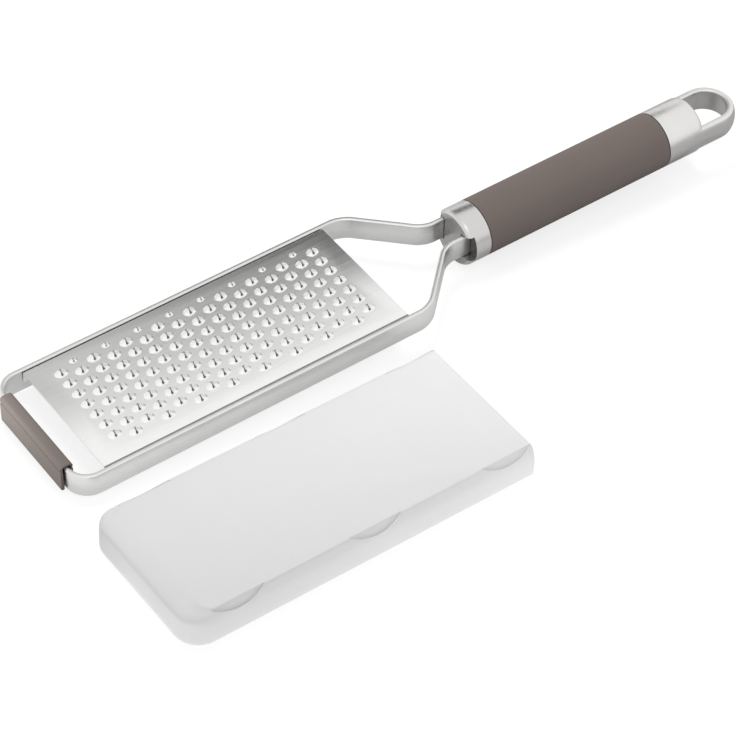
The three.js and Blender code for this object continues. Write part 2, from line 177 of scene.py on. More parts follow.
def put_in_place(piece, place, material, body, node, smooth=35):
    piece.data.transform(place @ Matrix.Scale(MM, 4))
    piece.data.shade_smooth()
    piece.data.set_sharp_from_angle(angle=math.radians(smooth))
    piece.data.materials.clear()
    piece.data.materials.append(material)
    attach(piece, body)
    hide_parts(node)
    print(piece.name, "has", len(piece.data.polygons), "faces")


# %% Helpers that cut
CUT_PAST = 1
BORE_SEGMENTS = 32


def join_or_cut(piece, other, operation):
    """Joins another solid to the piece, or cuts it away."""
    apply_modifier(piece, "BOOLEAN", object=other, operation=operation, solver="EXACT")
    bpy.data.objects.remove(other)


def block(name, low, high):
    """A box between two corners."""
    bm = bmesh.new()
    bmesh.ops.create_cube(bm, size=1)
    low, high = Vector(low), Vector(high)
    bmesh.ops.scale(bm, vec=high - low, verts=bm.verts)
    bmesh.ops.translate(bm, vec=(low + high) / 2, verts=bm.verts)
    return to_object(name, bm)


def round_bar(name, radius, depth, turn_about, centre):
    """A round bar that is laid down by turning it about X or Y."""
    bm = bmesh.new()
    bmesh.ops.create_cone(
        bm, cap_ends=True, segments=BORE_SEGMENTS, radius1=radius, radius2=radius, depth=depth
    )
    bmesh.ops.rotate(bm, matrix=Matrix.Rotation(math.pi / 2, 3, turn_about), verts=bm.verts)
    bmesh.ops.translate(bm, vec=centre, verts=bm.verts)
    return to_object(name, bm)


# %% [markdown]
# ## Finishes
# The set is made of stainless steel, ground, pressed or turned, of a soft-touch sleeve and a silicone foot,
# and of frosted polypropylene. Each material reads Object coordinates, which are the part's own metres, so
# one pattern keeps its real size on every piece.

# %% Helpers for materials
def from_hex(code):
    """An sRGB colour such as #808080 as the linear colour that shaders use."""
    shares = [int(code[start : start + 2], 16) / 255 for start in (1, 3, 5)]
    linear = [s / 12.92 if s <= 0.04045 else ((s + 0.055) / 1.055) ** 2.4 for s in shares]
    return (*linear, 1.0)


def add_node(tree, kind, inputs=None, **settings):
    """Adds a node, makes its settings, and fills or links its inputs."""
    node = tree.nodes.new(kind)
    for setting, value in settings.items():
        setattr(node, setting, value)
    for socket, value in (inputs or {}).items():
        if isinstance(value, bpy.types.NodeSocket):
            tree.links.new(value, node.inputs[socket])
        else:
            node.inputs[socket].default_value = value
    return node


def empty_material(name):
    """A material with no nodes yet, and its node tree."""
    material = bpy.data.materials.new(name)
    material.use_nodes = True
    material.node_tree.nodes.clear()
    return material, material.node_tree


def new_material(name):
    """A material with its shader and output."""
    material, tree = empty_material(name)
    shader = add_node(tree, "ShaderNodeBsdfPrincipled")
    add_node(tree, "ShaderNodeOutputMaterial", {"Surface": shader.outputs["BSDF"]})
    return material, tree, shader


def shader_of(material):
    """The material's shader."""
    return next(node for node in material.node_tree.nodes if node.type == "BSDF_PRINCIPLED")


def mix_into_colour(material, factor, colour):
    """Mixes a second colour into the material's own by a factor that changes over the surface."""
    tree = material.node_tree
    base = shader_of(material).inputs["Base Color"]
    own = base.links[0].from_socket
    mixed = add_node(
        tree, "ShaderNodeMix", {"Factor": factor, "A": own, "B": from_hex(colour)}, data_type="RGBA"
    )
    tree.links.new(mixed.outputs["Result"], base)


def per_mm(*sizes):
    """Mapping scale that makes one step of a pattern that many millimetres long on each axis."""
    return [1 / (size * MM) for size in sizes]


# %% [markdown]
# ### Steel
# Stainless strip and sheet are ground with a belt, and a turned part is brushed while it spins. Both leave
# fine parallel lines, which blur a reflection and streak it a little. Real lines are about 0.05 mm apart,
# too fine to show here, so they are drawn as coarse as half a millimetre. A noise that is short across the
# lines and long along them draws them, and it feeds roughness and a very shallow bump. A second, broad noise
# clouds the colour a little, as handling does.

# %% Steel finishes
CLOUD_SIZE = 14
NOISE_LOW, NOISE_HIGH = 0.3, 0.7
LINE_STRENGTH = 0.25


def brushed_steel(name, colour, worn_colour, line_size, smoothest, roughest, line_depth):
    """Steel with grinding lines: line_size is the pattern's length in mm on the grater's own axes."""
    material, tree, shader = new_material(name)
    place = add_node(tree, "ShaderNodeTexCoord")
    lines = add_node(
        tree,
        "ShaderNodeMapping",
        {"Vector": place.outputs["Object"], "Rotation": (0, TIP, 0), "Scale": per_mm(*line_size)},
    )
    grain = add_node(
        tree, "ShaderNodeTexNoise", {"Vector": lines.outputs["Vector"], "Scale": 1, "Detail": 3}
    )
    cloud = add_node(
        tree,
        "ShaderNodeTexNoise",
        {"Vector": place.outputs["Object"], "Scale": per_mm(CLOUD_SIZE)[0], "Detail": 2},
    )
    gloss = add_node(
        tree,
        "ShaderNodeMapRange",
        {
            "Value": grain.outputs["Fac"],
            "From Min": NOISE_LOW,
            "From Max": NOISE_HIGH,
            "To Min": smoothest,
            "To Max": roughest,
        },
    )
    tint = add_node(
        tree,
        "ShaderNodeMix",
        {"Factor": cloud.outputs["Fac"], "A": from_hex(colour), "B": from_hex(worn_colour)},
        data_type="RGBA",
    )
    bump = add_node(
        tree,
        "ShaderNodeBump",
        {"Height": grain.outputs["Fac"], "Strength": LINE_STRENGTH, "Distance": line_depth * MM},
    )
    tree.links.new(tint.outputs["Result"], shader.inputs["Base Color"])
    tree.links.new(gloss.outputs["Result"], shader.inputs["Roughness"])
    tree.links.new(bump.outputs["Normal"], shader.inputs["Normal"])
    shader.inputs["Metallic"].default_value = 1
    return material


satin_strip = brushed_steel("Satin stainless strip", "#dfdfdd", "#d3d3d1", (60, 60, 0.5), 0.26, 0.36, 0.01)
satin_sheet = brushed_steel("Satin stainless sheet", "#f0f0ef", "#e9e9e8", (40, 0.5, 40), 0.2, 0.27, 0.006)
turned_steel = brushed_steel("Brushed turned stainless", "#e2e1df", "#d5d4d2", (0.5, 30, 30), 0.3, 0.4, 0.01)
# The ferrule's turned steel is painted darker than the cap's, as shade; its lines are also a little smoother.
ferrule_steel = brushed_steel("Turned stainless painted darker", "#d2d1cf", "#c6c5c3", (0.5, 30, 30), 0.26, 0.34, 0.01)
print("steel:", ", ".join(m.name for m in (satin_strip, satin_sheet, turned_steel, ferrule_steel)))

# %% [markdown]
# ### Marks of the press, and painted shade
# Pressing leaves the raised teeth duller than the flat. The slits, the folds and the ferrule's milled notch
# lie in shade, and that shade is painted into the colour. A material can't know where these places are, so
# the meshes of the sheet and the ferrule carry a number, an attribute, that is 0 on untouched steel. On the
# sheet it dulls the teeth and paints shade into the slits and the folds. On the ferrule it paints shade into
# the milled notch and, less, into the face that looks forward.

# %% Pressed steel, and painted shade
PRESSED_OR_SHADED = "pressed_or_shaded"
# The two higher values paint shade into the slits and the folds; the lowest one only dulls the teeth.
RAISED, SLIT_SHADE, FULL_SHADE = 0.5, 0.9, 1.0
DULLER = 0.5

tree = satin_sheet.node_tree
pressed_or_shaded = add_node(tree, "ShaderNodeAttribute", attribute_name=PRESSED_OR_SHADED).outputs["Fac"]
# Shade painted into the slits and the folds, read from the attribute.
dark = add_node(tree, "ShaderNodeMapRange", {"Value": pressed_or_shaded, "From Min": RAISED, "From Max": FULL_SHADE})
mix_into_colour(satin_sheet, dark.outputs["Result"], "#a9a8a7")
sheet_roughness = shader_of(satin_sheet).inputs["Roughness"]
ground = sheet_roughness.links[0].from_socket
duller = add_node(tree, "ShaderNodeMath", {0: pressed_or_shaded, 1: DULLER, 2: ground}, operation="MULTIPLY_ADD")
tree.links.new(duller.outputs[0], sheet_roughness)

# Painted shade in the ferrule's milled notch and, less, on its front face.
ferrule_shade = add_node(ferrule_steel.node_tree, "ShaderNodeAttribute", attribute_name=PRESSED_OR_SHADED).outputs["Fac"]
mix_into_colour(ferrule_steel, ferrule_shade, "#5c5b5a")
print("marks of the press read from the attribute", PRESSED_OR_SHADED)

# %% [markdown]
# ### Soft-touch sleeve, silicone foot and frosted cover
# The sleeve and the foot are moulded and matte. Their skin has a fine spark-eroded texture, a fraction of a
# millimetre across, that breaks up highlights. The cover is milky polypropylene from a blasted mould: some
# light goes through it, and its skin is satin. The hidden core is plain moulded nylon.

# %% Moulded finishes
PATCH_SIZE = 22
GLOSS_SPREAD = 0.07
GRIT_STRENGTH = 0.4


def moulded(name, colour, shaded_colour, grit, roughness, grit_depth):
    """A matte moulded skin with a fine texture: grit is its size in mm."""
    material, tree, shader = new_material(name)
    place = add_node(tree, "ShaderNodeTexCoord")
    fine = add_node(
        tree,
        "ShaderNodeTexNoise",
        {"Vector": place.outputs["Object"], "Scale": per_mm(grit)[0], "Detail": 2},
    )
    broad = add_node(
        tree,
        "ShaderNodeTexNoise",
        {"Vector": place.outputs["Object"], "Scale": per_mm(PATCH_SIZE)[0], "Detail": 3},
    )
    tint = add_node(
        tree,
        "ShaderNodeMix",
        {"Factor": broad.outputs["Fac"], "A": from_hex(colour), "B": from_hex(shaded_colour)},
        data_type="RGBA",
    )
    gloss = add_node(
        tree,
        "ShaderNodeMapRange",
        {
            "Value": fine.outputs["Fac"],
            "To Min": roughness - GLOSS_SPREAD,
            "To Max": roughness + GLOSS_SPREAD,
        },
    )
    bump = add_node(
        tree,
        "ShaderNodeBump",
        {"Height": fine.outputs["Fac"], "Strength": GRIT_STRENGTH, "Distance": grit_depth * MM},
    )
    tree.links.new(tint.outputs["Result"], shader.inputs["Base Color"])
    tree.links.new(gloss.outputs["Result"], shader.inputs["Roughness"])
    tree.links.new(bump.outputs["Normal"], shader.inputs["Normal"])
    return material


soft_touch = moulded("Soft-touch sleeve", "#736964", "#6c625d", 0.5, 0.66, 0.05)
shader_of(soft_touch).inputs["Specular IOR Level"].default_value = 0.35
foot_silicone = moulded("Moulded silicone", "#726a65", "#6b635e", 0.5, 0.55, 0.04)
shader_of(foot_silicone).inputs["IOR"].default_value = 1.41
frosted = moulded("Frosted polypropylene", "#fcfcfc", "#f8f8f8", 0.6, 0.45, 0.03)
shader_of(frosted).inputs["IOR"].default_value = 1.49
shader_of(frosted).inputs["Transmission Weight"].default_value = 0.25
hidden_polymer = moulded("Moulded nylon core", "#3a3836", "#343230", 0.8, 0.7, 0.05)
print("moulded:", ", ".join(m.name for m in (soft_touch, foot_silicone, frosted, hidden_polymer)))

# %% [markdown]
# The cover is painted a little greyer towards its closed front, as shade, because less light gets into the
# milky wall there. A gradient on Object coordinates, turned towards that corner, mixes the grey in.

# %% Painted shade at the cover's front
GREY_TURN = math.radians(-60)
GREY_FROM = -0.015
GREY_TO = -0.125

tree = frosted.node_tree
place = add_node(tree, "ShaderNodeTexCoord")
turned = add_node(
    tree, "ShaderNodeMapping", {"Vector": place.outputs["Object"], "Rotation": (0, 0, GREY_TURN)}
)
axes = add_node(tree, "ShaderNodeSeparateXYZ", {"Vector": turned.outputs["Vector"]})
cover_front_shade = add_node(
    tree, "ShaderNodeMapRange", {"Value": axes.outputs["X"], "From Min": GREY_FROM, "From Max": GREY_TO}
)
mix_into_colour(frosted, cover_front_shade.outputs["Result"], "#e4e4e4")
print("the cover turns grey over", round((GREY_FROM - GREY_TO) / MM), "mm")

# %% [markdown]
# ## Camera
# The photograph was taken from the front left, about 45 degrees down, with a long lens, so parallel edges
# stay nearly parallel. The camera looks at a point on the table and is rolled a few degrees, as a
# photographer turns a tool to fill the picture.

# %% Camera
CAMERA_AT = Vector((-496.69, -572.98, 744.15)) * MM
CAMERA_AIM = Vector((-34.0, 8.47, 0)) * MM
CAMERA_ROLL = math.radians(3.912)
CAMERA_LENS = 141.27
CAMERA_SENSOR = 36


def looking_at(at, aim):
    """Place of a camera or lamp that stands at one point and looks at another."""
    return Matrix.Translation(at) @ (aim - at).to_track_quat("-Z", "Y").to_matrix().to_4x4()


lens = bpy.data.cameras.new("camera")
lens.lens = CAMERA_LENS
lens.sensor_width = CAMERA_SENSOR
camera = bpy.data.objects.new("camera", lens)
bpy.context.collection.objects.link(camera)
camera.matrix_world = looking_at(CAMERA_AT, CAMERA_AIM) @ Matrix.Rotation(CAMERA_ROLL, 4, "Z")
bpy.context.scene.camera = camera
print("camera", round((CAMERA_AIM - CAMERA_AT).length, 3), "m from what it looks at")

# %% [markdown]
# ## Frame strip
# The frame is one strip of steel on edge, bent on a former. The middle line of the strip is drawn as a few
# corners, raised into a wall, and each corner's upright edge is rounded by bevelling it: a bevel whose
# offset is the bend radius times the tangent of half the turn gives that radius. Solidify then gives the
# wall its 2 mm, and a small bevel breaks the sharp edges as tumbling does.

# %% Frame strip
FRONT_BEND = 8
SHOULDER_BEND = 12
NECK_BEND = 10
BEND_SEGMENTS = 14
STRIP_EDGE = 0.75
STRIP_EDGE_SEGMENTS = 4
PIN_DIAMETER = 4
PIN_SPACING = 20


def bevel_uprights(bm, corner, bend, turned):
    """Rounds the upright edges at a corner and at its mirror image."""
    x, y = corner
    uprights = []
    for edge in bm.edges:
        low, high = edge.verts
        upright = (low.co.xy - high.co.xy).length < NEAR
        if upright and abs(low.co.x - x) < NEAR and abs(abs(low.co.y) - y) < NEAR:
            uprights.append(edge)
    bevel(bm, uprights, bend * math.tan(turned / 2), BEND_SEGMENTS)


def make_strip():
    """The bent strip from the end of one tang round the head to the end of the other."""
    tang = (ferrule_front + TANG_LENGTH, tang_middle)
    neck = (neck_x, tang_middle)
    shoulder = (shoulder_x, bar_middle)
    front = (front_middle, bar_middle)
    half = [tang, neck, shoulder, front]
    corners = half + [(x, -y) for x, y in reversed(half)]
    bm = bmesh.new()
    line = [bm.verts.new((x, y, -STRIP_HEIGHT / 2)) for x, y in corners]
    draw_edges(bm, [bm.edges.new(pair) for pair in zip(line, line[1:])], (0, 0, STRIP_HEIGHT))
    bevel_uprights(bm, front, FRONT_BEND, math.pi / 2)
    bevel_uprights(bm, shoulder, SHOULDER_BEND, ARM_ANGLE)
    bevel_uprights(bm, neck, NECK_BEND, ARM_ANGLE)
    bmesh.ops.recalc_face_normals(bm, faces=bm.faces)
    strip = to_object("bent_strip", bm)
    apply_modifier(strip, "SOLIDIFY", thickness=STRIP_THICK, offset=0, use_even_offset=True)
    round_edges(strip, STRIP_EDGE, STRIP_EDGE_SEGMENTS)
    radius = PIN_DIAMETER / 2 + SEAT_GAP
    for place in (PIN_FIRST, PIN_FIRST + PIN_SPACING):
        centre = (ferrule_front + place, 0, -HANDLE_DROP)
        pin_bore = round_bar("pin_bore", radius, NECK_WIDTH + 2 * CUT_PAST, "X", centre)
        join_or_cut(strip, pin_bore, "DIFFERENCE")
    return strip


put_in_place(make_strip(), HEAD_PLACE, satin_strip, "grater", "frame_strip")

# %% [markdown]
# ## Toothed blade
# The blade is thin sheet, pressed and folded. Each tooth is a slit whose two lips are pushed up into a
# split dome, so it cuts both ways. The slit leans a little, and its lips nearly meet in the middle. The flat
# part is a rectangle with an oval hole for each tooth, filled round the holes. Every hole's edge is then
# extruded inwards in rings that change from the oval to the slit while they rise, and a last ring goes down
# into the slit. The long edges are spun round the fold, and Solidify gives the sheet its thickness.

# %% Where the teeth are
BLADE_THICK = 0.6
BLADE_RECESS = 0.5
BLADE_BEND = 0.5
FLANGE_DEPTH = 4.4
ROWS = 17
LONG_ROW = 8
ROW_PITCH = 6.8
TOOTH_PITCH = 5.93
FIELD_AHEAD = 0.4
FIELD_ASIDE = 1.3
SMALL_TOOTH = 0.6

blade_top = STRIP_HEIGHT / 2 - BLADE_RECESS


def tooth_places():
    """Place and size of every tooth: each second row is a long one, and its far tooth is a small one."""
    for row in range(ROWS):
        is_long = row % 2 == 1
        teeth = LONG_ROW if is_long else LONG_ROW - 1
        x = FIELD_AHEAD + (row - (ROWS - 1) / 2) * ROW_PITCH
        for tooth in range(teeth):
            y = FIELD_ASIDE + ((teeth - 1) / 2 - tooth) * TOOTH_PITCH
            yield x, y, SMALL_TOOTH if is_long and tooth == 0 else 1


print(sum(1 for _ in tooth_places()), "teeth")

# %% One tooth
TOOTH_LENGTH = 5.3
TOOTH_WIDTH = 4.0
TOOTH_HEIGHT = 1.0
END_DROP = 0.75
SLIT_SPAN = 3.4
SLIT_WIDTH = 1.6
SLIT_WAIST = 0.22
SLIT_FLARE = 1.2
SLIT_TILT = 0.2
RING_SHARES = (0, 0.45, 1)
THROAT_WIDTH = 0.3
THROAT_DEPTH = 0.55


def slit_point(angle, width):
    """A point on the outline of the leaning slit, whose lips nearly meet in the middle."""
    side = math.sin(angle)
    half = math.copysign(math.sqrt(abs(math.cos(angle))), math.cos(angle)) * width / 2
    y = side * SLIT_SPAN / 2
    return Vector((half * (SLIT_WAIST + SLIT_FLARE * side * side) + SLIT_TILT * y, y, 0))


def dome_point(angle, share):
    """A point of a tooth: share 0 lies on the oval foot, and share 1 on the slit's raised edge."""
    side = math.sin(angle)
    foot = Vector((math.cos(angle) * TOOTH_LENGTH / 2, side * TOOTH_WIDTH / 2, 0))
    point = foot.lerp(slit_point(angle, SLIT_WIDTH), share)
    point.z = TOOTH_HEIGHT * math.sqrt(1 - END_DROP * side * side) * math.sin(share * math.pi / 2)
    return point


def throat_point(angle):
    """A point at the slit's narrow lower end."""
    return slit_point(angle, THROAT_WIDTH) - Vector((0, 0, THROAT_DEPTH))


def next_ring(bm, angles):
    """Extrudes a ring of vertices and gives the new ones, each with its angle round the tooth."""
    edges = {edge for vertex in angles for edge in vertex.link_edges if edge.other_vert(vertex) in angles}
    made = bmesh.ops.extrude_edge_only(bm, edges=list(edges))["geom"]
    inner = {}
    for vertex in of_kind(made, bmesh.types.BMVert):
        neighbours = [edge.other_vert(vertex) for edge in vertex.link_edges]
        inner[vertex] = next(angles[neighbour] for neighbour in neighbours if neighbour in angles)
    return inner


def grow_tooth(bm, pressed_or_shaded, x, y, size, ring):
    """Extrudes one oval hole's edge inwards and upwards, ring by ring, to the slit and down its throat."""
    centre = Vector((x, y, blade_top))
    angles = {}
    for vertex in ring:
        local = vertex.co - centre
        angles[vertex] = math.atan2(local.y / TOOTH_WIDTH, local.x / TOOTH_LENGTH)
    for share in RING_SHARES:
        angles = next_ring(bm, angles)
        for vertex, angle in angles.items():
            vertex.co = centre + size * dome_point(angle, share)
            vertex[pressed_or_shaded] = RAISED * math.ceil(share)
    for vertex, angle in next_ring(bm, angles).items():
        vertex.co = centre + size * throat_point(angle)
        # The throat is marked for painted shade.
        vertex[pressed_or_shaded] = SLIT_SHADE


# %% The folded sheet
TOOTH_SIDES = 16
TOOTH_MARGIN = 0.15
FOLD_STEPS = 6
FOLD_DARK_FROM, FOLD_DARK_TO = 0.25, 0.9

fold_y = HEAD_WIDTH / 2 - STRIP_THICK - SEAT_GAP - BLADE_BEND


def make_flat(bm):
    """Fills the flat between its outline and the oval holes, and gives each hole's place, size and ring."""
    bmesh.ops.create_grid(bm, x_segments=1, y_segments=1, size=0.5)
    bmesh.ops.delete(bm, geom=bm.faces[:], context="FACES_ONLY")
    bmesh.ops.scale(bm, vec=(BLADE_LENGTH, 2 * fold_y, 1), verts=bm.verts)
    bmesh.ops.translate(bm, vec=(0, 0, blade_top), verts=bm.verts)
    holes = []
    for x, y, size in tooth_places():
        ring = bmesh.ops.create_circle(bm, cap_ends=False, segments=TOOTH_SIDES, radius=0.5)["verts"]
        length = size * TOOTH_LENGTH + 2 * TOOTH_MARGIN
        width = size * TOOTH_WIDTH + 2 * TOOTH_MARGIN
        bmesh.ops.scale(bm, vec=(length, width, 1), verts=ring)
        bmesh.ops.translate(bm, vec=(x, y, blade_top), verts=ring)
        holes.append((x, y, size, ring))
    bmesh.ops.triangle_fill(bm, use_beauty=True, edges=bm.edges[:], normal=(0, 0, 1))
    return holes


def fold_edge(bm, side):
    """Spins one long edge of the sheet round its fold and draws the flange down."""
    edge = [e for e in bm.edges if all(abs(v.co.y - side * fold_y) < NEAR for v in e.verts)]
    spun = bmesh.ops.spin(
        bm,
        geom=edge + list({v for e in edge for v in e.verts}),
        cent=(0, side * fold_y, blade_top - BLADE_BEND),
        axis=(-side, 0, 0),
        angle=math.pi / 2,
        steps=FOLD_STEPS,
    )["geom_last"]
    draw_edges(bm, of_kind(spun, bmesh.types.BMEdge), (0, 0, BLADE_BEND - FLANGE_DEPTH))


def shade_folds(bm, pressed_or_shaded):
    """Marks the round of both folds, between the flat and the flange, for painted shade."""
    for vertex in bm.verts:
        past_flat = abs(vertex.co.y) > fold_y + BLADE_BEND * FOLD_DARK_FROM
        above_flange = vertex.co.z > blade_top - BLADE_BEND * FOLD_DARK_TO
        if past_flat and above_flange:
            vertex[pressed_or_shaded] = FULL_SHADE


def make_blade():
    """The folded sheet with its rows of split domes."""
    bm = bmesh.new()
    pressed_or_shaded = bm.verts.layers.float.new(PRESSED_OR_SHADED)
    for x, y, size, ring in make_flat(bm):
        grow_tooth(bm, pressed_or_shaded, x, y, size, ring)
    for side in (-1, 1):
        fold_edge(bm, side)
    shade_folds(bm, pressed_or_shaded)
    bmesh.ops.recalc_face_normals(bm, faces=bm.faces)
    if sum(face.normal.z * face.calc_area() for face in bm.faces) < 0:
        bmesh.ops.reverse_faces(bm, faces=bm.faces)
    sheet = to_object("toothed_sheet", bm)
    apply_modifier(sheet, "SOLIDIFY", thickness=BLADE_THICK, offset=-1, use_even_offset=False)
    return sheet


put_in_place(make_blade(), HEAD_PLACE, satin_sheet, "grater", "grating_blade")

# %% [markdown]
# ## Foot
# The foot is a moulded clip pushed over the straight stretch of the front bar, so that the grater stands
# on a plate without slipping. Its section is a U upside down, with a narrow groove along each outer face. It
# is drawn as one face, extruded along the bar, and its top edges get a larger round than the rest.

# %% Foot
FOOT_WALL = 1.3
FOOT_TOP = 0.8
FOOT_DROP = 0.6
FOOT_EDGE = 1.6
FOOT_EDGE_SEGMENTS = 5
FOOT_END_GAP = 0.25
FOOT_SOFT_EDGE = 0.3
FOOT_SOFT_SEGMENTS = 3
FOOT_SOFT_ANGLE = 60
GROOVE_BELOW = 2.4
GROOVE_HALF = 0.45
GROOVE_DEPTH = 0.9


def make_foot():
    """The U-shaped clip over the front bar."""
    outside = STRIP_THICK / 2 + SEAT_GAP + FOOT_WALL
    inside = STRIP_THICK / 2 + SEAT_GAP
    slot_top = STRIP_HEIGHT / 2 + SEAT_GAP
    top = slot_top + FOOT_TOP
    bottom = -STRIP_HEIGHT / 2 - FOOT_DROP
    length = HEAD_WIDTH - 2 * (FRONT_BEND + STRIP_THICK / 2 + FOOT_END_GAP)
    groove = top - GROOVE_BELOW
    half = [
        (outside, top),
        (outside, groove + GROOVE_HALF),
        (outside - GROOVE_DEPTH, groove),
        (outside, groove - GROOVE_HALF),
        (outside, bottom),
        (inside, bottom),
        (inside, slot_top),
    ]
    section = half + [(-x, z) for x, z in reversed(half)]
    bm = bmesh.new()
    face = bm.faces.new([bm.verts.new((front_middle + x, -length / 2, z)) for x, z in section])
    draw_faces(bm, [face], (0, length, 0))
    bmesh.ops.recalc_face_normals(bm, faces=bm.faces)
    long_edges = [edge for edge in bm.edges if edge.calc_length() > length / 2]
    top_edges = [edge for edge in long_edges if all(abs(v.co.z - top) < NEAR for v in edge.verts)]
    bevel(bm, top_edges, FOOT_EDGE, FOOT_EDGE_SEGMENTS)
    foot = to_object("foot_clip", bm)
    round_edges(foot, FOOT_SOFT_EDGE, FOOT_SOFT_SEGMENTS, FOOT_SOFT_ANGLE)
    return foot


put_in_place(make_foot(), HEAD_PLACE, foot_silicone, "grater", "front_foot")

# %% [markdown]
# ## Turned pieces of the handle
# Ferrule, sleeve and cap are round, so each is half a section spun once about the handle's axis. The
# section is drawn as a face first, because a face's corners can be rounded by a vertex bevel, and then only
# its outline is spun. Corners on the axis would leave slivers, so the edge there is taken out.

# %% A spun section
SPIN_STEPS = 96
ROUND_SEGMENTS = 6


def spun_section(name, corners, rounds):
    """A closed section of (place along the axis, radius) spun about X, with some corners rounded."""
    bm = bmesh.new()
    verts = [bm.verts.new((x, 0, radius)) for x, radius in corners]
    bm.faces.new(verts)
    for index, radius in rounds.items():
        bevel(bm, [verts[index]], radius, ROUND_SEGMENTS, affect="VERTICES")
    bmesh.ops.delete(bm, geom=bm.faces[:], context="FACES_ONLY")
    on_axis = [e for e in bm.edges if all(abs(v.co.z) < NEAR for v in e.verts)]
    bmesh.ops.delete(bm, geom=on_axis, context="EDGES")
    bmesh.ops.spin(
        bm,
        geom=bm.verts[:] + bm.edges[:],
        cent=(0, 0, 0),
        axis=(1, 0, 0),
        angle=2 * math.pi,
        steps=SPIN_STEPS,
        use_merge=True,
    )
    bmesh.ops.remove_doubles(bm, verts=bm.verts, dist=NEAR)
    bmesh.ops.recalc_face_normals(bm, faces=bm.faces)
    return to_object(name, bm)


# %% [markdown]
# The ferrule holds the front of the handle together. Both tangs go in through slots, and each slot is open
# to the side at the front, as a shallow notch. The faces that look forward get their number for painted
# shade.

# %% Ferrule
HANDLE_DIAMETER = 23
FERRULE_LENGTH = 10
FERRULE_EDGE = 2.4
RING_EDGE = 0.2
NOTCH_DEPTH = 3
NOTCH_NEAR = 0.1
FORWARD = -0.9
FRONT_SHADE = 0.45
GRIP_WALL = 1.1
CORE_SEAT = 2.5

handle_radius = HANDLE_DIAMETER / 2
sleeve_bore = handle_radius - GRIP_WALL
wall_end = FERRULE_LENGTH - CORE_SEAT - SEAT_GAP


def cut_tang_slots(piece, depth, outer_face):
    """Cuts the room for both tangs, from the front face to a depth."""
    inner_face = tang_middle - STRIP_THICK / 2 - SEAT_GAP
    high = HANDLE_DROP + STRIP_HEIGHT / 2 + SEAT_GAP
    low = HANDLE_DROP - STRIP_HEIGHT / 2 - SEAT_GAP
    for near, far in ((inner_face, outer_face), (-outer_face, -inner_face)):
        join_or_cut(piece, block("slot", (-CUT_PAST, near, low), (depth, far, high)), "DIFFERENCE")


def make_ferrule():
    """The ring at the front of the handle, with a slot and an open notch for each tang."""
    corners = [
        (0, 0),
        (0, handle_radius),
        (FERRULE_LENGTH, handle_radius),
        (FERRULE_LENGTH, sleeve_bore),
        (wall_end, sleeve_bore),
        (wall_end, 0),
    ]
    ferrule = spun_section("ferrule_ring", corners, {1: FERRULE_EDGE, 2: RING_EDGE})
    cut_tang_slots(ferrule, FERRULE_LENGTH, NECK_WIDTH / 2 + SEAT_GAP)
    cut_tang_slots(ferrule, NOTCH_DEPTH, handle_radius + CUT_PAST)
    # Painted shade: full on the notch's floor, less on the other faces that look forward.
    painted_shade = ferrule.data.attributes.new(PRESSED_OR_SHADED, "FLOAT", "FACE").data
    for face in ferrule.data.polygons:
        if face.normal.x < FORWARD:
            in_notch = abs(face.center.x - NOTCH_DEPTH) < NOTCH_NEAR
            painted_shade[face.index].value = FULL_SHADE if in_notch else FRONT_SHADE
    return ferrule


put_in_place(make_ferrule(), HANDLE_PLACE, ferrule_steel, "grater", "front_ferrule")

# %% Sleeve
GRIP_LENGTH = 86.8
GRIP_EDGE = 0.3

grip_start = FERRULE_LENGTH + SEAT_GAP
grip_end = grip_start + GRIP_LENGTH


def make_sleeve():
    """The soft sleeve: a tube with its edges just broken."""
    corners = [
        (grip_start, sleeve_bore),
        (grip_start, handle_radius),
        (grip_end, handle_radius),
        (grip_end, sleeve_bore),
    ]
    return spun_section("grip_skin", corners, {1: GRIP_EDGE, 2: GRIP_EDGE})


put_in_place(make_sleeve(), HANDLE_PLACE, soft_touch, "grater", "grip_sleeve")

# %% [markdown]
# ## Rear cap and hanging loop
# The cap is turned, and its loop looks like a round bar that was sliced flat above and below and pierced.
# The loop's section is a D: a straight inner wall, and an outer face that keeps the handle's round. It is
# drawn once, extruded along one side, spun half a turn round the eye, and extruded back.

# %% Hanging loop
CAP_LENGTH = 17.4
CAP_EDGE = 2.2
LOOP_STRAIGHT = 10
LOOP_HEIGHT = 10
LOOP_WALL = 3.4
LOOP_EDGE = 0.7
LOOP_EDGE_SEGMENTS = 4
LOOP_FACE_STEPS = 6
LOOP_STEPS = 32

cap_start = grip_end + SEAT_GAP
cap_end = cap_start + CAP_LENGTH
eye_centre = cap_end + LOOP_STRAIGHT


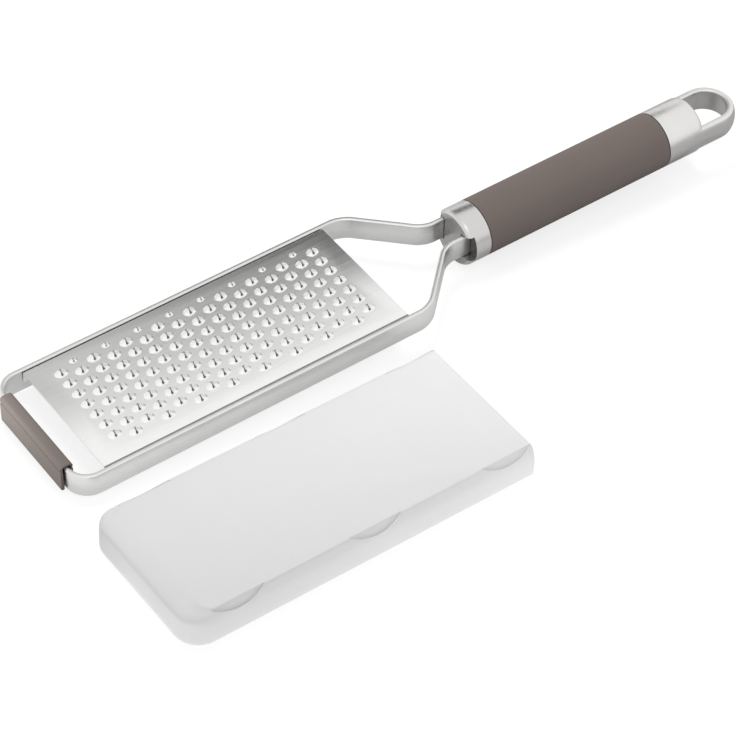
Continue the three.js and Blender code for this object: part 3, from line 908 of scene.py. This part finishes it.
def make_loop():
    """The loop as a closed bar with both ends inside the cap."""
    start = cap_end - CAP_EDGE
    inner = handle_radius - LOOP_WALL
    top = LOOP_HEIGHT / 2
    rim = math.asin(top / handle_radius)
    turns = [rim - 2 * rim * step / LOOP_FACE_STEPS for step in range(LOOP_FACE_STEPS + 1)]
    outer = [(handle_radius * math.cos(turn), handle_radius * math.sin(turn)) for turn in turns]
    bm = bmesh.new()
    verts = [bm.verts.new((start, y, z)) for y, z in [(inner, -top), (inner, top), *outer]]
    bm.faces.new(verts)
    corners = [verts[0], verts[1], verts[2], verts[-1]]
    bevel(bm, corners, LOOP_EDGE, LOOP_EDGE_SEGMENTS, affect="VERTICES")
    run = draw_faces(bm, bm.faces[:], (eye_centre - start, 0, 0))
    end_face = of_kind(run, bmesh.types.BMFace)
    spun = bmesh.ops.spin(
        bm, geom=end_face, cent=(eye_centre, 0, 0), axis=(0, 0, 1), angle=-math.pi, steps=LOOP_STEPS
    )["geom_last"]
    draw_faces(bm, of_kind(spun, bmesh.types.BMFace), (start - eye_centre, 0, 0))
    inside = [face for face in bm.faces if all(not edge.is_manifold for edge in face.edges)]
    bmesh.ops.delete(bm, geom=inside, context="FACES_ONLY")
    bmesh.ops.recalc_face_normals(bm, faces=bm.faces)
    return to_object("loop", bm)


# %% Rear cap
CAP_END_WALL = 7
STUD_DIAMETER = 6
STUD_IN_CAP = 4.5

recess_end = cap_end - CAP_END_WALL


def make_cap():
    """The hollow cap with its loop joined on and a hole for the hidden stud."""
    corners = [
        (recess_end, 0),
        (recess_end, sleeve_bore),
        (cap_start, sleeve_bore),
        (cap_start, handle_radius),
        (cap_end, handle_radius),
        (cap_end, 0),
    ]
    cap = spun_section("cap_with_loop", corners, {3: RING_EDGE, 4: CAP_EDGE})
    join_or_cut(cap, make_loop(), "UNION")
    depth = STUD_IN_CAP + SEAT_GAP + CUT_PAST
    centre = (recess_end - CUT_PAST + depth / 2, 0, 0)
    stud_hole = round_bar("stud_hole", STUD_DIAMETER / 2 + SEAT_GAP, depth, "Y", centre)
    join_or_cut(cap, stud_hole, "DIFFERENCE")
    return cap


put_in_place(make_cap(), HANDLE_PLACE, turned_steel, "grater", "rear_cap")

# %% [markdown]
# ## Blade cover
# The cover is a moulded hood, open below and at its rear end, whose rim is pushed down over the head. Its
# long walls lean in to a shoulder, its top runs down to the front in a rounded nose, and each shoulder has
# three shallow scoops for the fingers. A rectangle with two rounded corners is extruded into a block, the
# faces that are open on the real cover are taken away, and the walls are cut into levels that lean in
# towards the top. Solidify gives the wall, and a round tool with a slanted end cuts the scoops.

# %% The cover's sizes
COVER_WALL = 1.2
COVER_CLEARANCE = 0.3
COVER_OVERLAP = 6
COVER_HEADROOM = 4
COVER_OVERRUN = 0.3
COVER_TURN = math.radians(0.7)

foot_half = STRIP_THICK / 2 + SEAT_GAP + FOOT_WALL
foot_above = SEAT_GAP + FOOT_TOP
cover_width = HEAD_WIDTH + 2 * (COVER_CLEARANCE + COVER_WALL)
cover_height = COVER_OVERLAP + foot_above + COVER_HEADROOM + COVER_WALL
cover_reach = BLADE_LENGTH / 2 - front_middle + foot_half
cover_length = cover_reach + COVER_CLEARANCE + COVER_WALL + COVER_OVERRUN
cover_middle = middle_of("blade_cover")
cover_turn = Matrix.Rotation(COVER_TURN, 4, "Z")
COVER_PLACE = Matrix.Translation((cover_middle.x, cover_middle.y, 0)) @ cover_turn
print("cover", round(cover_length, 1), "x", round(cover_width, 1), "x", round(cover_height, 1), "mm")

# %% The cover's leaning walls
COVER_LEAN = 2.9
LEAN_POWER = 4
COVER_NOSE = 8
NOSE_POWER = 20
COVER_CORNER = 9.5
CORNER_SEGMENTS = 14
COVER_EDGE = 0.3
COVER_EDGE_SEGMENTS = 4
STEEP = 0.5
LEVELS = (0, 0.24, 0.44, 0.59, 0.7, 0.77, 0.83, 0.88, 0.92, 0.96, 1)


def lean_walls(bm):
    """Moves every level of the upright block in, less at the long walls and more at the front."""
    ways = {}
    for vertex in bm.verts:
        walls = [face.normal for face in vertex.link_faces if abs(face.normal.z) < STEEP]
        ways[vertex] = sum(walls, Vector()).normalized() if walls else Vector()
    for vertex, way in ways.items():
        share = LEVELS[round(vertex.co.z / cover_height * (len(LEVELS) - 1))]
        lean = COVER_LEAN * share**LEAN_POWER
        vertex.co.z = share * cover_height
        vertex.co.y -= way.y * lean
        if vertex.co.x < 0:
            vertex.co.x += COVER_NOSE * share**NOSE_POWER - lean * (1 + way.x)


def make_shell():
    """The thin hood without its scoops."""
    bm = bmesh.new()
    bmesh.ops.create_grid(bm, x_segments=1, y_segments=1, size=0.5)
    bmesh.ops.scale(bm, vec=(cover_length, cover_width, 1), verts=bm.verts)
    front_corners = [v for v in bm.verts if v.co.x < 0]
    bevel(bm, front_corners, COVER_CORNER, CORNER_SEGMENTS, affect="VERTICES")
    draw_faces(bm, bm.faces[:], (0, 0, cover_height))
    rear = cover_length / 2
    opened = [face for face in bm.faces if all(abs(v.co.z) < NEAR for v in face.verts)]
    opened += [face for face in bm.faces if all(abs(v.co.x - rear) < NEAR for v in face.verts)]
    bmesh.ops.delete(bm, geom=opened, context="FACES")
    bmesh.ops.recalc_face_normals(bm, faces=bm.faces)
    uprights = [e for e in bm.edges if abs(e.verts[0].co.z - e.verts[1].co.z) > cover_height / 2]
    bmesh.ops.subdivide_edges(bm, edges=uprights, cuts=len(LEVELS) - 2, use_grid_fill=True)
    bm.normal_update()
    lean_walls(bm)
    top_edges = [e for e in bm.edges if all(abs(v.co.z - cover_height) < NEAR for v in e.verts)]
    rim = [e for e in top_edges if len(e.link_faces) == 2]
    bevel(bm, rim, COVER_EDGE, COVER_EDGE_SEGMENTS)
    bmesh.ops.recalc_face_normals(bm, faces=bm.faces)
    top_face = max(bm.faces, key=bmesh.types.BMFace.calc_area)
    if top_face.normal.z < 0:
        bmesh.ops.reverse_faces(bm, faces=bm.faces)
    shell = to_object("cover_shell", bm)
    apply_modifier(shell, "SOLIDIFY", thickness=COVER_WALL, offset=-1, use_even_offset=True)
    return shell


# %% Scoops, and the finished cover
SCOOPS = 3
SCOOP_FIRST = 20.7
SCOOP_LAST = 10.8
SCOOP_RADIUS = 18
SCOOP_SEGMENTS = 160
SCOOP_BELOW = 3.3
SCOOP_DEPTH = 0.8
SCOOP_TILT = math.radians(30)


def scoop_tool(x, side):
    """A short cylinder whose flat end leans in and bites into the shoulder."""
    lip_height = cover_height - SCOOP_BELOW
    lip = cover_width / 2 - COVER_LEAN * (lip_height / cover_height) ** LEAN_POWER - SCOOP_DEPTH
    outward = Vector((0, side * math.cos(SCOOP_TILT), math.sin(SCOOP_TILT)))
    upward = Vector((0, -side * math.sin(SCOOP_TILT), math.cos(SCOOP_TILT)))
    centre = Vector((x, side * lip, lip_height)) + upward * SCOOP_RADIUS + outward * SCOOP_RADIUS / 2
    bm = bmesh.new()
    bmesh.ops.create_cone(
        bm,
        cap_ends=True,
        segments=SCOOP_SEGMENTS,
        radius1=SCOOP_RADIUS,
        radius2=SCOOP_RADIUS,
        depth=SCOOP_RADIUS,
    )
    turn = Vector((0, 0, 1)).rotation_difference(outward).to_matrix()
    bmesh.ops.rotate(bm, matrix=turn, verts=bm.verts)
    bmesh.ops.translate(bm, vec=centre, verts=bm.verts)
    return to_object("scoop_tool", bm)


def make_cover():
    """The hood with three scoops in each shoulder."""
    shell = make_shell()
    spacing = (cover_length - SCOOP_FIRST - SCOOP_LAST) / (SCOOPS - 1)
    for scoop in range(SCOOPS):
        x = SCOOP_FIRST + scoop * spacing - cover_length / 2
        for side in (-1, 1):
            join_or_cut(shell, scoop_tool(x, side), "DIFFERENCE")
    return shell


put_in_place(make_cover(), COVER_PLACE, frosted, "cover", "blade_cover")

# %% [markdown]
# ## Hidden pieces
# The core, the pins and the stud can't be seen, so their CAD solids are fine as they are. They only take
# the finish of their stuff.

# %% Finishes of the hidden pieces
hidden = {
    "handle_core": hidden_polymer,
    "tang_pin_front": satin_strip,
    "tang_pin_rear": satin_strip,
    "cap_stud": satin_strip,
}
for node, material in hidden.items():
    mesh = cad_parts[node].data
    mesh.materials.clear()
    mesh.materials.append(material)
print("hidden:", ", ".join(hidden))

# %% [markdown]
# ## Table and light
# The photograph is a cut-out on pure white, so the camera sees a white table with a faint shadow. What the
# table gives back to the pieces is set apart by the kind of ray. As light, it is paper that is brighter on
# the cover's side, with a patch there that glows to light the cover's near wall. In steel, it is paper with a
# glow that fades towards the handle. Places on the table are in metres.

# %% Table
FLOOR_SIZE = 6.0
WHITE = (1, 1, 1, 1)
SEEN_SHADE = 0.3
SEEN_GLOW = 0.78
PAPER_NEAR, PAPER_FAR = 0.85, 0.2
PAPER_FROM, PAPER_TO = -0.03, 0.03
COVER_GLOW = 0.7
COVER_GLOW_FROM, COVER_GLOW_TO = -0.03, 0.0
STEEL_PAPER_FRONT, STEEL_PAPER_REAR = 0.65, 0.45
STEEL_PAPER_FROM, STEEL_PAPER_TO = 0.08, 0.17
STEEL_GLOW = 0.56
STEEL_GLOW_FROM, STEEL_GLOW_TO = -0.22, 0.12

floor_bm = bmesh.new()
bmesh.ops.create_grid(floor_bm, x_segments=1, y_segments=1, size=FLOOR_SIZE / 2)
floor = to_object("table", floor_bm)

table_top, tree = empty_material("White table")
path = add_node(tree, "ShaderNodeLightPath")
place = add_node(tree, "ShaderNodeTexCoord")
axes = add_node(tree, "ShaderNodeSeparateXYZ", {"Vector": place.outputs["Object"]})

shade = add_node(tree, "ShaderNodeBsdfDiffuse", {"Color": (SEEN_SHADE, SEEN_SHADE, SEEN_SHADE, 1)})
lift = add_node(tree, "ShaderNodeEmission", {"Color": WHITE, "Strength": SEEN_GLOW})
white = add_node(tree, "ShaderNodeAddShader", {0: shade.outputs[0], 1: lift.outputs[0]})

paper = add_node(
    tree,
    "ShaderNodeMapRange",
    {
        "Value": axes.outputs["Y"],
        "From Min": PAPER_FROM,
        "From Max": PAPER_TO,
        "To Min": PAPER_NEAR,
        "To Max": PAPER_FAR,
    },
)
bounce = add_node(tree, "ShaderNodeBsdfDiffuse", {"Color": paper.outputs["Result"]})
near_glow = add_node(
    tree,
    "ShaderNodeMapRange",
    {
        "Value": axes.outputs["Y"],
        "From Min": COVER_GLOW_FROM,
        "From Max": COVER_GLOW_TO,
        "To Min": COVER_GLOW,
        "To Max": 0,
    },
)
# The table glows here as light for the cover's near wall.
cover_glow = add_node(tree, "ShaderNodeEmission", {"Color": WHITE, "Strength": near_glow.outputs["Result"]})
as_light = add_node(tree, "ShaderNodeAddShader", {0: bounce.outputs[0], 1: cover_glow.outputs[0]})

dimmed = add_node(
    tree,
    "ShaderNodeMapRange",
    {
        "Value": axes.outputs["X"],
        "From Min": STEEL_PAPER_FROM,
        "From Max": STEEL_PAPER_TO,
        "To Min": STEEL_PAPER_FRONT,
        "To Max": STEEL_PAPER_REAR,
    },
)
mirrored = add_node(tree, "ShaderNodeBsdfDiffuse", {"Color": dimmed.outputs["Result"]})
front_glow = add_node(
    tree,
    "ShaderNodeMapRange",
    {
        "Value": axes.outputs["X"],
        "From Min": STEEL_GLOW_FROM,
        "From Max": STEEL_GLOW_TO,
        "To Min": STEEL_GLOW,
        "To Max": 0,
    },
)
glow = add_node(tree, "ShaderNodeEmission", {"Color": WHITE, "Strength": front_glow.outputs["Result"]})
in_steel = add_node(tree, "ShaderNodeAddShader", {0: mirrored.outputs[0], 1: glow.outputs[0]})

unseen = add_node(
    tree,
    "ShaderNodeMixShader",
    {0: path.outputs["Is Glossy Ray"], 1: as_light.outputs[0], 2: in_steel.outputs[0]},
)
seen = add_node(
    tree,
    "ShaderNodeMath",
    {0: path.outputs["Is Camera Ray"], 1: path.outputs["Is Transmission Ray"]},
    operation="MAXIMUM",
)
surface = add_node(
    tree, "ShaderNodeMixShader", {0: seen.outputs[0], 1: unseen.outputs[0], 2: white.outputs[0]}
)
add_node(tree, "ShaderNodeOutputMaterial", {"Surface": surface.outputs[0]})
floor.data.materials.append(table_top)
print("table", FLOOR_SIZE, "m wide")

# %% [markdown]
# The room is even and white, and brighter in reflections than as light. A wide soft box stands on the
# camera's side. A stronger one behind draws the bright top of the sleeve, and a small one at the front is
# flagged, so that it lights only the foot. Neither of these two shows in reflections.

# %% Room light
ROOM_LIGHT = 0.62
ROOM_IN_STEEL = 1.1

world = bpy.data.worlds.new("white room")
world.use_nodes = True
tree = world.node_tree
tree.nodes.clear()
path = add_node(tree, "ShaderNodeLightPath")
level = add_node(
    tree,
    "ShaderNodeMath",
    {0: path.outputs["Is Glossy Ray"], 1: ROOM_IN_STEEL - ROOM_LIGHT, 2: ROOM_LIGHT},
    operation="MULTIPLY_ADD",
)
room = add_node(tree, "ShaderNodeBackground", {"Color": WHITE, "Strength": level.outputs[0]})
white = add_node(tree, "ShaderNodeBackground", {"Color": WHITE, "Strength": 1})
both = add_node(
    tree, "ShaderNodeMixShader", {0: path.outputs["Is Camera Ray"], 1: room.outputs[0], 2: white.outputs[0]}
)
add_node(tree, "ShaderNodeOutputWorld", {"Surface": both.outputs[0]})
bpy.context.scene.world = world
print("room light", ROOM_LIGHT)

# %% Soft boxes
ABOVE_AT, ABOVE_AIM = Vector((-0.3, -0.4, 0.9)), Vector((-0.05, 0.02, 0))
ABOVE_SIZE, ABOVE_POWER = 0.45, 0.6
BEHIND_AT, BEHIND_AIM = Vector((0.1, 0.5, 0.9)), Vector((-0.02, 0.02, 0))
BEHIND_SIZE, BEHIND_POWER = 0.5, 5.0
FRONT_AT, FRONT_AIM = Vector((-0.22, 0.08, 0.03)), middle_of("front_foot")
FRONT_SIZE, FRONT_POWER = 0.05, 0.09


def add_soft_box(name, at, aim, size, power):
    """A square area lamp that the camera can't see."""
    lamp = bpy.data.lights.new(name, "AREA")
    lamp.size = size
    lamp.energy = power
    box = bpy.data.objects.new(name, lamp)
    bpy.context.collection.objects.link(box)
    box.matrix_world = looking_at(at, aim)
    box.visible_camera = False
    print(name, power, "W")
    return box


add_soft_box("soft_box_above", ABOVE_AT, ABOVE_AIM, ABOVE_SIZE, ABOVE_POWER)
behind = add_soft_box("soft_box_behind", BEHIND_AT, BEHIND_AIM, BEHIND_SIZE, BEHIND_POWER)
behind.visible_glossy = False
front_box = add_soft_box("soft_box_front", FRONT_AT, FRONT_AIM, FRONT_SIZE, FRONT_POWER)
front_box.visible_glossy = False
flagged = bpy.data.collections.new("soft_box_front_lights")
flagged.objects.link(bpy.data.objects["foot_clip"])
front_box.light_linking.receiver_collection = flagged

# %% [markdown]
# Satin sheet shows the room like a dull mirror. A grey card behind and above the head, which shows in
# reflections and isn't seen itself, gives the blade its slow change from grey at the far side to white at
# the near side. The card's near edge is as bright as the room, so it leaves no line on the blade.

# %% Grey card
CARD_LOW = Vector((-0.12, 0.13, 0.2))
CARD_HIGH = Vector((0.3, 0.42, 0.2))
CARD_DARK_FRONT, CARD_DARK_REAR = 0.48, 1.0
CARD_FRONT, CARD_REAR = -0.06, 0.08
CARD_NEAR, CARD_FAR = 0.166, 0.203

card_bm = bmesh.new()
bmesh.ops.create_grid(card_bm, x_segments=1, y_segments=1, size=0.5)
bmesh.ops.scale(card_bm, vec=CARD_HIGH - CARD_LOW, verts=card_bm.verts)
bmesh.ops.translate(card_bm, vec=(CARD_LOW + CARD_HIGH) / 2, verts=card_bm.verts)
card = to_object("grey_card", card_bm)
card.visible_camera = False
card.visible_diffuse = False
card.visible_shadow = False

card_paint, tree = empty_material("Grey card")
place = add_node(tree, "ShaderNodeTexCoord")
axes = add_node(tree, "ShaderNodeSeparateXYZ", {"Vector": place.outputs["Object"]})
along_card = add_node(
    tree,
    "ShaderNodeMapRange",
    {
        "Value": axes.outputs["X"],
        "From Min": CARD_FRONT,
        "From Max": CARD_REAR,
        "To Min": CARD_DARK_FRONT,
        "To Max": CARD_DARK_REAR,
    },
)
across_card = add_node(
    tree,
    "ShaderNodeMapRange",
    {"Value": axes.outputs["Y"], "From Min": CARD_NEAR, "From Max": CARD_FAR},
    interpolation_type="SMOOTHSTEP",
)
dark = add_node(
    tree,
    "ShaderNodeMath",
    {0: along_card.outputs["Result"], 1: across_card.outputs["Result"]},
    operation="MULTIPLY",
)
bright = add_node(tree, "ShaderNodeMath", {0: ROOM_IN_STEEL, 1: dark.outputs[0]}, operation="SUBTRACT")
glow = add_node(tree, "ShaderNodeEmission", {"Color": WHITE, "Strength": bright.outputs[0]})
add_node(tree, "ShaderNodeOutputMaterial", {"Surface": glow.outputs[0]})
card.data.materials.append(card_paint)
print("grey card, down to", round(ROOM_IN_STEEL - CARD_DARK_REAR, 2))

# %% [markdown]
# ## Finish
# The view transform is plain, so colours come out as written.

# %% Finish
bpy.context.scene.view_settings.view_transform = "Standard"
